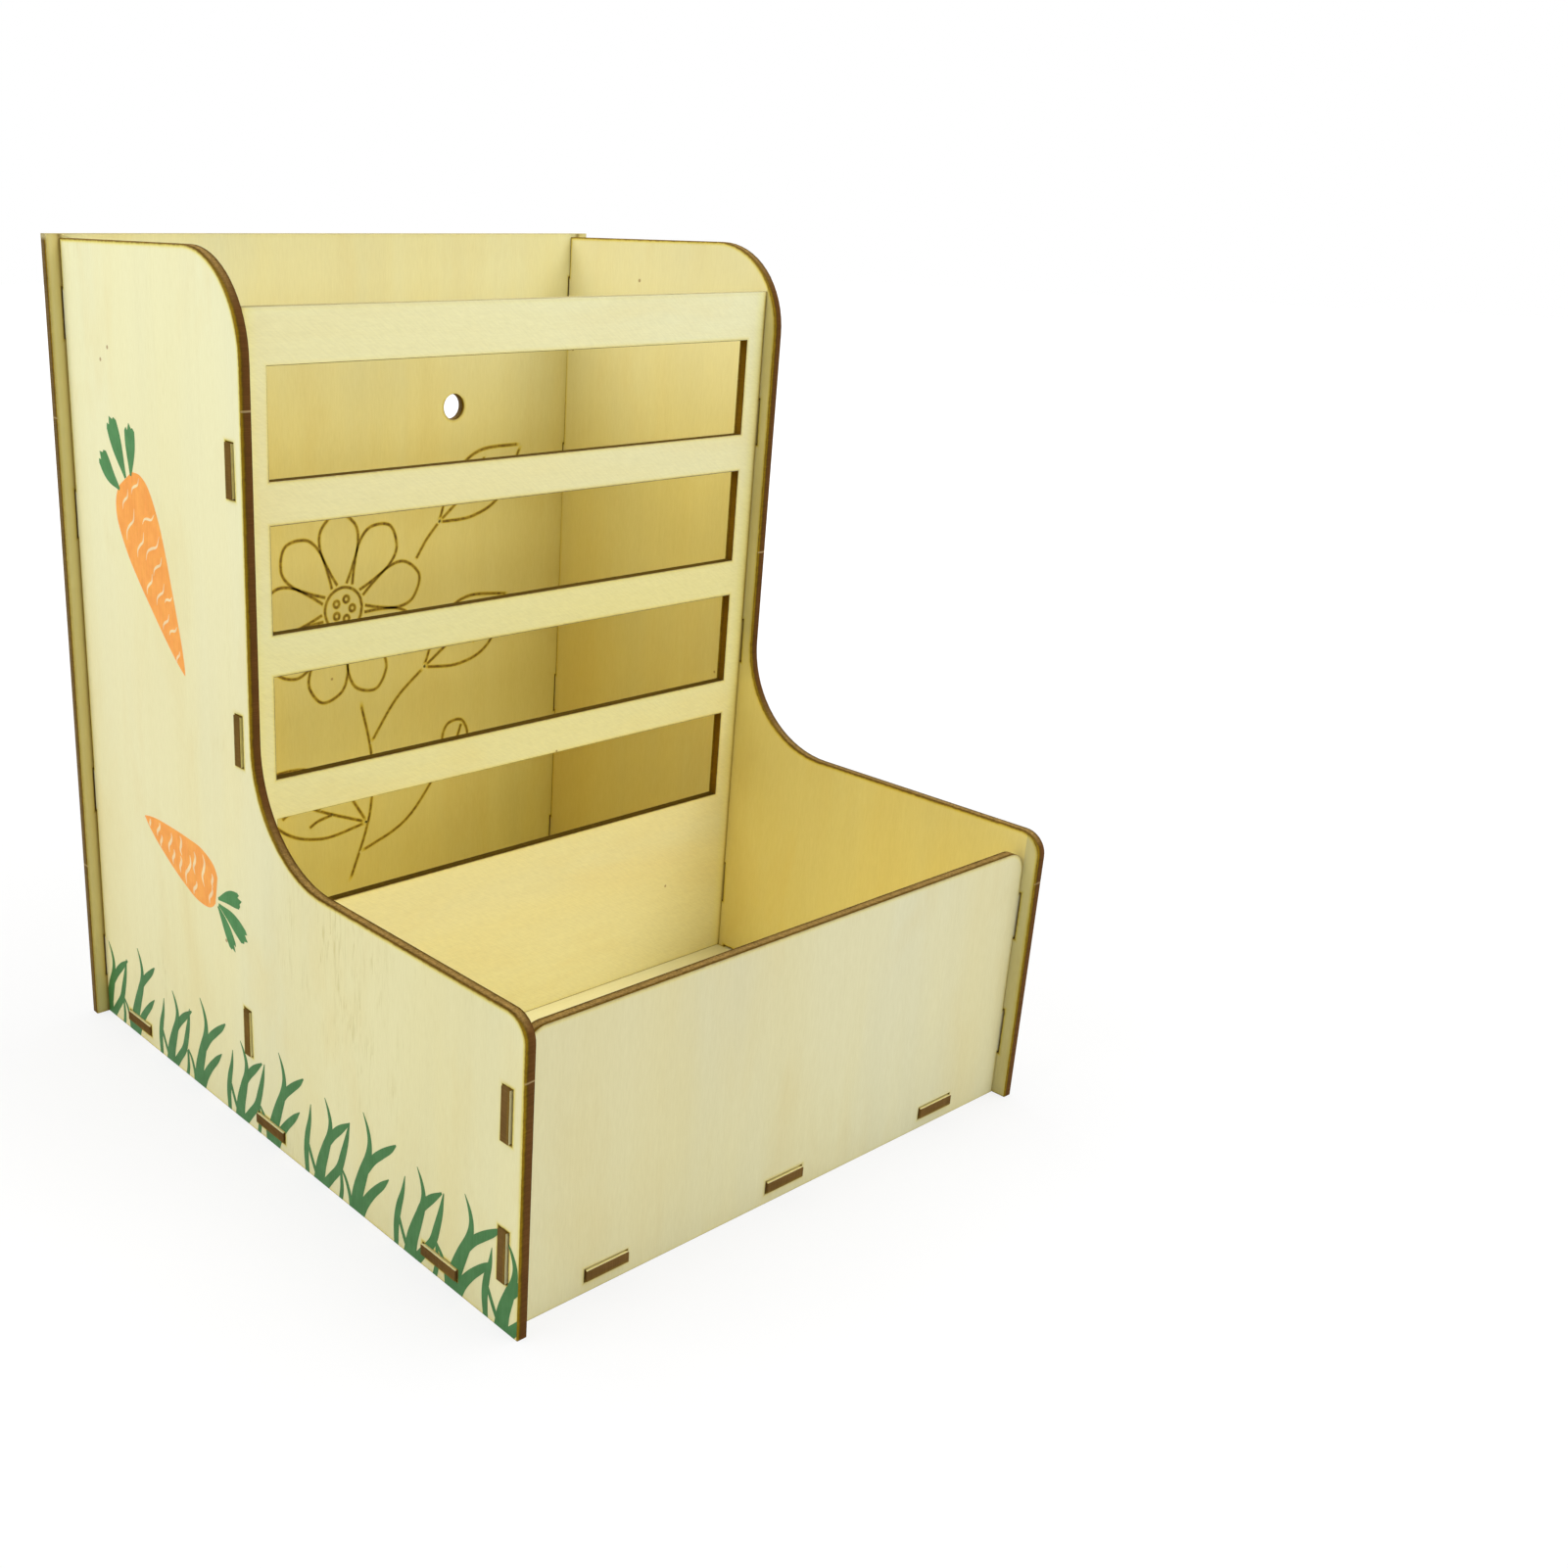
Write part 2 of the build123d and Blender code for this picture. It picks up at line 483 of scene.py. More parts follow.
def outer_drift(place, colour):
    """Tone of the outer face of a side, a little yellower towards the front, and paler towards the top as
    painted light.
    """
    forward = spread(part_of(place, "Y"), -0.06, 0.015, 1.0, 0.0)
    painted_paler_top = spread(part_of(place, "Z"), 0.1, 0.18)
    colour = mix(forward, colour, tinted(colour, (0.95, 0.94, 0.89)))
    return mix(painted_paler_top, colour, tinted(colour, (1.05, 1.08, 1.12)))


def lightly_cut(place, height):
    """1 close under that height, where the cut is hardly charred, and 0 further down."""
    return spread(part_of(place, "Z"), height - 0.0016, height - 0.0006)


def veneer(
    name, settings, grain, shift, flecks=0.5, shimmer=0.0, bands=0.05, tones=(), inner=None, inner_tones=(),
    strips=None, burn=1.0, ripple=None, bare=None, joint=None, slot_scorch_and_shade=(), clean=()
):
    """Pale, unfinished face veneer.

    grain is the axis that the fibres follow, and shift moves the figure, so that no two sheets match.
    flecks and shimmer are how much of each shows, and bands is the width of the soft bands. tones are
    the (height, tint) pairs of the sheet, painted light and shade where they change with height. inner is
    the depth, 0 or 1, of a face with tones of its own, inner_tones, painted shade and interreflection.
    strips tints its outer strips with painted shade. burn is the strength of the scorch, ripple a place
    with rippled grain, bare the height of an edge that is hardly charred, and joint how far from the
    middle the sheet meets the sides, where it is darkened with scorch and painted shade. Past the limits
    sooted and clean, as for tab_ends, the tabs are dark with scorch and painted shade, or hardly scorched.
    """
    material, tree, surface = new_material(name)
    place = place_in_sheet(tree)

    def figure(along, across, move=0.0, **look):
        """Noise that follows the grain of this sheet."""
        return streaks(place, lengths(grain, along, across), [s + move for s in shift], **look)

    broad = spread(figure(bands * 8, bands, detail=2.0), 0.32, 0.68)
    colour = mix(broad, settings.pale, settings.warm)
    cloud = spread(figure(bands * 4, bands * 0.7, 0.7), 0.48, 0.72, 0.0, 0.6)
    colour = mix(cloud, colour, settings.cool)
    stain = spread(figure(0.045, 0.018, -0.9, detail=4.0, distortion=0.5), 0.5, 0.72, 0.0, 0.42)
    colour = mix(stain, colour, settings.tan)
    if tones:
        colour = tinted(colour, by_height(place, tones))
    # An inner face takes painted shade and interreflection by height, and painted shade on its outer strips.
    if inner is not None:
        side = reckon("COMPARE", attribute(tree, "across"), float(inner))
        side.node.inputs[2].default_value = 0.5
        tint = by_height(place, inner_tones)
        tint = mix(outer_strips(place), tint, strips or settings.strip_shade)
        outer = outer_drift(place, colour) if ripple else colour
        colour = mix(side, outer, tinted(colour, tint))

    lines = figure(0.12, 0.0026, detail=5.0, distortion=0.4)
    colour = figured(colour, lines, 0.3, (0.985, 0.98, 0.965), 0.68)
    fibre = figure(0.0028, 0.0003, detail=4.0)
    colour = figured(colour, fibre, 0.3, (0.955, 0.95, 0.925), 0.7)

    patch = spread(figure(0.04, 0.02, -0.4, detail=2.0), 0.5, 0.66, 0.0, 0.7)
    if ripple:
        away = node("VectorMath", {0: place, 1: ripple}, operation="DISTANCE")
        near = spread(away.outputs["Value"], 0.012, 0.034, 1.0, 0.0)
        patch = reckon("ADD", patch, near)
        patch = reckon("MULTIPLY", patch, reckon("SUBTRACT", 1.0, side))
    wave = figure(0.009, 0.0009, detail=3.0, distortion=1.5)
    gaps = spread(figure(0.016, 0.005, 0.2, detail=2.0), 0.42, 0.62, 0.1, 1.0)
    patch = reckon("MULTIPLY", patch, gaps)
    wave = reckon("MULTIPLY", spread(wave, 0.5, 0.7), patch)
    wave = reckon("MULTIPLY", wave, flecks)
    colour = mix(wave, colour, tinted(colour, (0.87, 0.85, 0.74)))

    if shimmer:
        slant = (0.0, math.radians(33), 0.0)
        glint = streaks(place, (0.0032, 0.0004, 0.0004), shift, turn=slant)
        colour = figured(colour, glint, 0.34, 1 - 0.1 * shimmer, 0.62, 1 + 0.02 * shimmer)

    cells = node("TexVoronoi", {"Vector": place, "Scale": 46.0}, feature="F1")
    speck = spread(cells.outputs["Distance"], 0.016, 0.026, 0.7, 0.0)
    colour = mix(speck, colour, shade(150, 110, 52))

    if joint:
        colour = joint_scorch_and_shade(place, colour, joint)
    # Tabs past these limits are painted dark: scorch and painted shade inside the slots.
    if slot_scorch_and_shade:
        colour = mix(tab_ends(place, slot_scorch_and_shade), colour, tinted(colour, (0.2, 0.14, 0.06)))
    if bare or clean:
        spared = lightly_cut(place, bare) if bare else tab_ends(place, clean)
        burn = spread(spared, 0.0, 1.0, burn, 0.25 * burn)
    colour = mix(burn, colour, tinted(colour, scorch_tint(place, shift)))
    height = reckon("ADD", fibre, reckon("MULTIPLY", wave, -2.4))
    finish_surface(surface, colour, fibre, (0.72, 0.58), 0.3, 0.2, 0.00008, height)
    return material


def dimmed(colour, share):
    """A darker version of a colour."""
    return tuple(share * value for value in colour)


def tab_ends(place, limits):
    """1 past any of some limits, each an axis and a signed distance, and 0 elsewhere."""
    past = 0.0
    for axis, limit in limits:
        here = reckon("MULTIPLY", part_of(place, axis), math.copysign(1.0, limit))
        past = reckon("MAXIMUM", past, reckon("GREATER_THAN", here, abs(limit)))
    return past


def cut_edge(name, settings, axis, shift, entry=0, char=None, core=None, ends=(), nibs=(), bare=None):
    """Laser-cut edge of the sheet: golden where the beam went in, then charred.

    axis runs across the sheet, and the beam went in at the depth entry, 0 or 1. char and core are the
    colours of its middle, upright and facing up; those facing up are painted light from above, and show
    the middle ply. The tabs are lighter past the limits ends. nibs are pale spots torn where the sheet
    held the panel. bare is the height of an edge hardly charred.
    """
    char, core = char or settings.char, core or settings.core
    material, tree, surface = new_material(name)
    place = place_in_sheet(tree)
    depth = attribute(tree, "across")
    waver = streaks(place, (0.0016,) * 3, shift, detail=2.0)
    depth = reckon("ADD", depth, spread(waver, 0.3, 0.7, -0.05, 0.05))
    if entry:
        depth = reckon("SUBTRACT", 1.0, depth)
    upright = (
        (0.0, settings.gold),
        (0.13, dimmed(settings.gold, 0.8)),
        (0.27, settings.olive),
        (0.44, char),
        (0.9, char),
        (1.0, dimmed(char, 0.55)),
    )
    level = (
        (0.0, dimmed(settings.olive, 0.8)),
        (0.14, dimmed(settings.olive, 0.8)),
        (0.27, dimmed(core, 0.75)),
        (0.45, core),
        (0.6, dimmed(core, 0.9)),
        (0.76, dimmed(core, 0.7)),
        (0.88, dimmed(settings.olive, 0.7)),
        (1.0, dimmed(settings.olive, 0.7)),
    )
    grit = streaks(place, (0.00045,) * 3, shift, detail=2.0)
    level = figured(ramp(depth, level), grit, 0.34, 0.72, 0.66, 1.28)
    # Edges that face up take the level colours instead: painted light from above, with the middle ply.
    normal = node("TexCoord", tree=tree).outputs["Normal"]
    painted_top_light = spread(part_of(normal, "Z"), 0.45, 0.9)
    colour = mix(painted_top_light, ramp(depth, upright), level)
    if bare:
        share = reckon("MULTIPLY", lightly_cut(place, bare), 0.8)
        colour = mix(share, colour, dimmed(settings.tan, 0.75))
    # The ends of the tabs are mixed towards a lighter colour.
    if ends:
        share = reckon("MULTIPLY", tab_ends(place, ends), 0.7)
        colour = mix(share, colour, settings.tab_end_tone)
    lines = streaks(place, lengths(axis, 0.006, 0.00024), shift)
    colour = figured(colour, lines, 0.3, 0.74, 0.7)
    soot = streaks(place, lengths(axis, 0.004, 0.007), shift)
    colour = figured(colour, soot, 0.34, 0.86, 0.66)
    flat = lengths(axis, 0.0, 1.0)
    for nib in nibs:
        target = [value * keep for value, keep in zip(nib, flat)]
        flattened = node("VectorMath", {0: place, 1: flat}, operation="MULTIPLY").outputs[0]
        away = node("VectorMath", {0: flattened, 1: target}, operation="DISTANCE")
        away = reckon("ADD", away.outputs["Value"], spread(lines, 0.3, 0.7, -0.0002, 0.0002))
        colour = mix(spread(away, 0.00008, 0.00026, 0.5, 0.0), colour, shade(200, 176, 126))
    finish_surface(surface, colour, lines, (0.88, 0.74), 0.03, 0.3, 0.0001, lines)
    return material


def through_sides():
    """Limits past which the tabs of a panel stand proud of the sides, for tab_ends."""
    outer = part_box("side_right")[1].x + PAST
    return (("X", outer), ("X", -outer))


def ink(name, colour):
    """Printed ink, soaked a little into the veneer: faint fibres and a mottle show through it."""
    material, tree, surface = new_material(name)
    place = place_in_sheet(tree)
    fibre = streaks(place, lengths(2, 0.006, 0.0004), (0.1, 0.2, 0.3), detail=4.0)
    mottle = streaks(place, (0.0035,) * 3, (0.4, 0.1, 0.2))
    tone = figured(colour, fibre, 0.3, 0.88, 0.7)
    lighter = tuple(min(1.0, value * 1.16 + 0.012) for value in colour)
    tone = mix(spread(mottle, 0.42, 0.66, 0.0, 0.6), tone, lighter)
    finish_surface(surface, tone, fibre, (0.62, 0.48), 0.35, 0.15, 0.00005, fibre)
    return material


# --- Drawing ---


def smooth(points, steps=6):
    """A smooth line through points of two numbers or more (a Catmull-Rom spline)."""
    knots = [Vector(p) for p in points]
    knots = [knots[0] * 2 - knots[1]] + knots + [knots[-1] * 2 - knots[-2]]
    line = []
    for a, b, c, d in zip(knots, knots[1:], knots[2:], knots[3:]):
        for step in range(steps):
            t = step / steps
            point = 2 * b + (c - a) * t + (2 * a - 5 * b + 4 * c - d) * t**2
            line.append(0.5 * (point + (3 * b - a - 3 * c + d) * t**3))
    return line + [knots[-2]]


def leftward(along):
    """A plane vector, turned a quarter to the left."""
    return Vector((-along[1], along[0]))


def sideways(line, number):
    """Unit vector to the left of a plane line at one of its points."""
    ahead = line[min(number + 1, len(line) - 1)]
    behind = line[max(number - 1, 0)]
    along = Vector((ahead[0] - behind[0], ahead[1] - behind[1]))
    return leftward(along.normalized() if along.length > 1e-12 else Vector((1.0, 0.0)))


def stroke_outline(points, steps=6):
    """Closed outline of a brush stroke through points (u, v, half width)."""
    line = smooth(points, steps)
    left, right = [], []
    for number, point in enumerate(line):
        side = sideways(line, number) * max(point[2], 0.0)
        left.append(Vector((point[0], point[1])) + side)
        right.append(Vector((point[0], point[1])) - side)
    outline = left + right[::-1]
    kept = []
    for point in outline:
        if not kept or (point - kept[-1]).length > CLOSE:
            kept.append(point)
    if (kept[0] - kept[-1]).length < CLOSE:
        kept.pop()
    return kept


def ink_patch(name, outline, height, place):
    """A thin closed slab with that outline. place(u, v, height) gives a point of the box."""
    bpy.ops.object.select_all(action="DESELECT")
    bpy.ops.mesh.primitive_circle_add(vertices=len(outline), radius=0.01, fill_type="NGON")
    piece = bpy.context.active_object
    piece.name = name
    for vertex, (u, v) in zip(piece.data.vertices, outline):
        vertex.co = (u, v, 0.0)
    edit_all(piece)
    bpy.ops.mesh.extrude_region_move(TRANSFORM_OT_translate={"value": (0.0, 0.0, height)})
    cut_to_triangles()
    for vertex in piece.data.vertices:
        vertex.co = place(*vertex.co)
    piece.data.update()
    turn_outwards(piece)
    return piece


def burnt_line(name, points, settings, place, steps=8):
    """A ribbon along a line on the back, dark along its middle and clear at both edges."""
    line = smooth(points, steps)
    closed = (Vector(points[0]) - Vector(points[-1])).length < 1e-9
    offsets = [settings.glow / 2, settings.line / 2, 0.0, -settings.line / 2, -settings.glow / 2]
    bpy.ops.object.select_all(action="DESELECT")
    bpy.ops.mesh.primitive_grid_add(x_subdivisions=4, y_subdivisions=len(line) - 1, size=0.01)
    piece = bpy.context.active_object
    piece.name = name
    scorch = piece.data.attributes.new("scorch", "FLOAT", "POINT")
    for number, vertex in enumerate(piece.data.vertices):
        row, column = divmod(number, 5)
        at_end = row in (0, len(line) - 1)
        side = sideways(line, row)
        if closed and at_end:
            side = leftward(line[1] - line[-2]).normalized()
        u, v = line[row] + side * offsets[column]
        vertex.co = place(u, v, settings.depth if 0 < column < 4 else settings.depth / 4)
        end = 0.0 if at_end and not closed else 1.0
        scorch.data[number].value = LINE_LEVELS[column] * end
    edit_all(piece)
    if closed:
        bpy.ops.mesh.remove_doubles(threshold=MERGE)
    bpy.ops.mesh.extrude_region_move(TRANSFORM_OT_translate={"value": (0.0, settings.depth * 0.5, 0.0)})
    turn_outwards(piece)
    return piece


def outer_face(node, hand):
    """A function for points of the outer face of a side: u runs from back to front, v runs up."""
    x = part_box(node)[int(hand > 0)].x
    return lambda u, v, height=0.0: Vector((x + hand * height, -u, v))


def inner_back():
    """A function for points of the inner face of the back: u runs to the right, v runs up."""
    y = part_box("back_panel")[0].y
    return lambda u, v, height=0.0: Vector((u, y - height, v))


def millimetres(points):
    """Points written in millimetres, in metres."""
    return [tuple(value / 1000 for value in point) for point in points]


# --- Prints ---

# Each blade of grass is a brush stroke through points (u, v, half width), in millimetres.
TALL_TUFT = (
    (
        (-0.8, -0.3, 2.2), (0.2, 5.0, 1.9), (2.2, 10.5, 1.6), (4.3, 15.6, 1.15),
        (4.9, 19.4, 0.75), (4.2, 22.6, 0.5), (2.6, 25.6, 0.08),
    ),
    ((3.0, 12.0, 0.8), (5.4, 15.8, 1.05), (8.4, 18.8, 1.05), (11.4, 21.4, 0.8), (13.4, 23.4, 0.2)),
    ((0.8, -0.3, 1.5), (2.8, 3.6, 1.3), (5.8, 7.6, 1.1), (9.4, 11.4, 0.85), (11.8, 14.0, 0.12)),
)
LOW_TUFT = (
    (
        (-0.8, -0.3, 2.1), (0.0, 4.6, 1.8), (1.6, 9.4, 1.45), (3.0, 13.4, 1.0),
        (3.3, 16.6, 0.7), (2.4, 19.4, 0.45), (0.9, 21.8, 0.08),
    ),
    ((2.0, 10.0, 0.7), (4.4, 13.8, 1.05), (7.4, 16.9, 1.0), (10.9, 19.9, 0.25)),
    (
        (1.2, -0.3, 1.3), (4.2, 3.4, 1.15), (7.2, 7.2, 1.1),
        (8.9, 11.6, 1.0), (10.2, 15.8, 0.7), (11.2, 20.2, 0.12),
    ),
    ((7.9, -0.3, 0.7), (8.5, 3.2, 0.65), (8.2, 7.4, 0.4)),
    ((12.0, -0.3, 0.65), (11.6, 2.6, 0.6), (10.2, 5.8, 0.5), (8.4, 7.8, 0.3)),
    ((-5.6, -0.3, 0.75), (-5.8, 5.0, 0.95), (-5.1, 9.6, 0.95), (-4.0, 13.6, 0.6), (-3.4, 17.6, 0.08)),
    ((-1.2, 0.6, 0.65), (-3.0, 3.6, 0.55), (-4.5, 6.8, 0.5), (-5.3, 8.8, 0.3)),
)


def trim(outline, axis, limit, hand):
    """Cuts off what lies above (hand 1) or below (hand -1) a limit along one axis."""
    kept = []
    for here, ahead in zip(outline, outline[1:] + outline[:1]):
        inside = hand * here[axis] <= hand * limit
        if inside:
            kept.append(here)
        if inside != (hand * ahead[axis] <= hand * limit):
            kept.append(here.lerp(ahead, (limit - here[axis]) / (ahead[axis] - here[axis])))
    return kept


def tuft_blades(pitch, rear, front):
    """Blades of the whole strip of grass, low and tall tufts by turns, none quite like another."""
    chance = random.Random(11)
    blades = []
    start = rear + 0.001
    number = 0
    while start < front + 0.002:
        start = min(start, front - 0.004)
        tuft = LOW_TUFT if number % 2 == 0 else TALL_TUFT
        tall = chance.uniform(0.95, 1.04)
        for blade in tuft:
            lean = chance.uniform(-0.05, 0.05)
            points = [(start + (u + lean * v) / 1000, v * tall / 1000, w / 1000) for u, v, w in blade]
            outline = stroke_outline(points)
            for axis, limit, hand in ((0, rear, -1), (0, front, 1), (1, GRASS_FOOT, -1)):
                outline = trim(outline, axis, limit, hand)
            if len(outline) > 5:
                blades.append(outline)
        start += pitch * (0.42 if number % 2 == 0 else 0.58)
        number += 1
    return blades


# Millimetres on the side. profile holds (share of the length, half width), leaves hold root, middle,
# tip and half width, and wrinkles hold (share of the length, share of the width, length, tilt).
CARROTS = (
    {
        "crown": (-58.8, 147.1),
        "tip": (-34.1, 105.9),
        "bow": -0.2,
        "pen": 1.0,
        "profile": (
            (0.0, 4.2), (0.05, 7.4), (0.14, 9.3), (0.3, 9.3), (0.45, 8.0),
            (0.6, 6.2), (0.75, 4.3), (0.87, 2.6), (0.95, 1.2), (1.0, 0.1),
        ),
        "leaves": (
            ((-61.8, 144.4), (-66.5, 147.4), (-70.3, 151.6), 2.5),
            ((-58.5, 147.4), (-61.7, 153.7), (-64.7, 160.0), 2.7),
            ((-55.8, 148.2), (-55.4, 153.8), (-55.4, 159.2), 2.4),
        ),
        "wrinkles": (
            (0.07, 0.5, 4.0, 12), (0.08, -0.35, 4.0, 26), (0.2, -0.5, 6.2, 28), (0.25, 0.7, 4.6, -6),
            (0.32, -0.25, 5.0, 28), (0.38, 0.42, 6.6, 10), (0.47, 0.4, 4.6, 16), (0.51, -0.5, 4.2, 28),
            (0.59, 0.05, 4.8, 22), (0.64, 0.5, 2.8, -4), (0.72, -0.2, 3.6, 20), (0.78, 0.2, 3.2, 2),
            (0.9, -0.1, 2.2, 30),
        ),
    },
    {
        "crown": (-23.6, 56.5),
        "tip": (-57.9, 64.9),
        "bow": 0.5,
        "pen": 1.45,
        "profile": (
            (0.0, 3.5), (0.025, 4.8), (0.07, 6.0), (0.15, 6.8), (0.26, 7.1), (0.4, 6.4),
            (0.55, 5.4), (0.7, 4.1), (0.83, 2.8), (0.93, 1.4), (1.0, 0.1),
        ),
        "leaves": (
            ((-22.8, 54.8), (-17.8, 56.7), (-13.0, 57.4), 2.0),
            ((-22.7, 53.4), (-16.6, 51.6), (-10.9, 48.6), 2.2),
            ((-23.1, 52.8), (-19.8, 49.2), (-16.4, 44.4), 1.7),
        ),
        "wrinkles": (
            (0.06, -0.3, 2.4, 18), (0.06, 0.45, 3.4, -4), (0.18, -0.35, 5.6, 14), (0.26, 0.8, 2.8, -10),
            (0.3, -0.3, 4.0, 12), (0.37, 0.3, 5.8, -4), (0.47, 0.45, 3.0, 10), (0.49, -0.5, 3.4, 18),
            (0.57, 0.45, 2.8, 4), (0.63, -0.1, 3.8, -2), (0.75, 0.4, 2.2, 6), (0.8, -0.15, 2.8, -8),
            (0.92, 0.1, 1.4, 20),
        ),
    },
)


def carrot_outline(carrot):
    """Outline of the root, from its crown to its tip."""
    crown, tip = Vector(carrot["crown"]), Vector(carrot["tip"])
    side = leftward(tip - crown).normalized()
    points = []
    for share, half in carrot["profile"]:
        middle = crown.lerp(tip, share) + side * carrot["bow"] * math.sin(math.pi * share)
        points.append((*middle, half))
    return stroke_outline(millimetres(points))


def leaf_outline(root, middle, tip, half):
    """Outline of a carrot leaf with a notched end."""
    root, middle, tip = Vector(root), Vector(middle), Vector(tip)
    line = smooth([root, middle, tip], 6)
    left, right = [], []
    for number, point in enumerate(line):
        share = number / (len(line) - 1)
        width = half * (0.16 + 0.84 * math.sin(math.pi * min(share, 0.86) / 1.55) ** 1.2)
        side = sideways(line, number) * width
        left.append(point + side)
        right.append(point - side)
    along = (tip - middle).normalized()
    across = leftward(along)
    notches = ((0.72, -0.1), (0.42, -0.9), (0.1, 0.9), (-0.34, -0.3), (-0.62, -0.1))
    end = [tip + across * half * out + along * on for out, on in notches]
    return [p / 1000 for p in left[:-1] + end + right[:-1][::-1]]


def wrinkle_outline(carrot, share, across, length, tilt):
    """Outline of one wavy wrinkle on the root."""
    crown, tip = Vector(carrot["crown"]), Vector(carrot["tip"])
    along = (tip - crown).normalized()
    side = leftward(along)
    half = 0.8 * max(h for s, h in carrot["profile"] if abs(s - share) < 0.2)
    middle = crown.lerp(tip, share) + side * (across * half + carrot["bow"] * math.sin(math.pi * share))
    angle = math.radians(tilt)
    forward = side * math.cos(angle) - along * math.sin(angle)
    painted_paler_top = side * math.sin(angle) + along * math.cos(angle)
    points = []
    for step, width in ((-0.72, 0.05), (-0.4, 0.24), (-0.05, 0.33), (0.3, 0.26), (0.72, 0.05)):
        wave = math.sin(step * math.pi * 1.5) * length * 0.12
        points.append((*(middle + forward * step * length + painted_paler_top * wave), width * carrot["pen"]))
    return stroke_outline(millimetres(points), 4)


def tab_places(hand, margin):
    """Rectangles (u0, v0, u1, v1) on a side's outer face where the tabs of the other panels come through."""
    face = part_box("side_right" if hand > 0 else "side_left")[int(hand > 0)].x
    places = set()
    for name in ("rack_panel", "front_panel", "floor_panel"):
        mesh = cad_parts[name].data
        for polygon in mesh.polygons:
            corners = [mesh.vertices[number].co for number in polygon.vertices]
            proud = all(hand * (corner.x - face) > 1e-5 for corner in corners)
            if proud and hand * polygon.normal.x > 0.9:
                u, v = [-corner.y for corner in corners], [corner.z for corner in corners]
                reach = (min(u) - margin, min(v) - margin, max(u) + margin, max(v) + margin)
                places.add(tuple(round(value, 6) for value in reach))
    return sorted(places)


def around(outline, place):
    """What is left of an outline outside a rectangle."""
    u0, v0, u1, v1 = place
    us, vs = [p[0] for p in outline], [p[1] for p in outline]
    if min(us) > u1 or max(us) < u0 or min(vs) > v1 or max(vs) < v0:
        return [outline]
    between = trim(trim(outline, 0, u0, -1), 0, u1, 1)
    parts = [trim(outline, 0, u0, 1), trim(outline, 0, u1, -1)]
    parts += [trim(between, 1, v0, 1), trim(between, 1, v1, -1)]
    return [part for part in parts if len(part) > 2]


def cut_round_tabs(outlines, hand, margin=0.0004):
    """Leaves the ink out where the tabs of the other panels come through the side."""
    for place in tab_places(hand, margin):
        outlines = [part for outline in outlines for part in around(outline, place)]
    return outlines


# --- Engraving: a sprig with a large daisy, two leaves and a bud ---


def petal(centre, angle, inner, outer, half):
    """Closed outline of one petal, from the heart of the flower outwards."""
    direction = Vector((math.cos(angle), math.sin(angle)))
    side = leftward(direction)
    edge = ((0.0, 0.2), (0.25, 0.62), (0.55, 0.98), (0.82, 0.86), (1.0, 0.0))
    points = []
    for hand, steps in ((1, edge), (-1, edge[-2::-1])):
        for share, width in steps:
            middle = Vector(centre) + direction * (inner + (outer - inner) * share)
            points.append(tuple(middle + side * half * width * hand))
    return points


def ring(centre, radius, count=12):
    """A closed circle of points."""
    turns = [2 * math.pi * n / count for n in range(count + 1)]
    return [(centre[0] + radius * math.cos(t), centre[1] + radius * math.sin(t)) for t in turns]


def broad_leaf(root, tip, half):
    """Two edges and the midrib of a broad leaf."""
    root, tip = Vector(root), Vector(tip)
    along = tip - root
    side = leftward(along).normalized()

    def at(share, out):
        return root + along * share + side * half * out

    upper = [root, at(0.3, 0.9), at(0.62, 1.0), tip]
    lower = [root, at(0.3, -0.8), at(0.62, -0.95), tip]
    rib = [root, at(0.4, 0.1), root + along * 0.8]
    veins = []
    for share, hand in ((0.28, 1), (0.5, 1), (0.38, -1), (0.6, -1)):
        start = at(share, 0.08)
        outwards = side * hand * half
        veins.append([start, start + along * 0.09 + outwards * 0.32, start + along * 0.14 + outwards * 0.62])
    return [[tuple(p) for p in line] for line in [upper, lower, rib] + veins]


def sprig_lines():
    """Every line of the drawing, in millimetres."""
    flower = (-2.0, 101.0)
    lines = [ring(flower, 6.2)]
    for number in range(9):
        lines.append(petal(flower, math.radians(14 + 40 * number), 6.6, 27.0, 6.4))
    for angle in (number * 1.26 for number in range(5)):
        lines.append(ring((flower[0] + 2.9 * math.cos(angle), flower[1] + 2.9 * math.sin(angle)), 0.9, 8))
    lines.append([(3.4, 73.6), (7.2, 56.0), (6.4, 38.0), (-1.0, 18.0)])
    lines.append([(6.9, 60.0), (16.0, 72.0), (26.0, 80.0)])
    lines += broad_leaf((26.0, 80.0), (58.0, 98.0), 9.0)
    lines += broad_leaf((5.6, 36.0), (-36.0, 56.0), 9.5)
    lines.append([(2.8, 27.0), (20.0, 34.0), (34.0, 50.0)])
    lines.append(petal((34.0, 50.0), math.radians(62), 0.0, 13.0, 4.6))
    lines.append([(34.6, 52.6), (38.2, 55.6), (40.4, 60.6)])
    lines += broad_leaf((31.0, 122.0), (61.0, 142.0), 8.0)
    lines.append([(22.8, 112.0), (26.6, 117.4), (31.0, 122.0)])
    return lines


# --- Operators ---


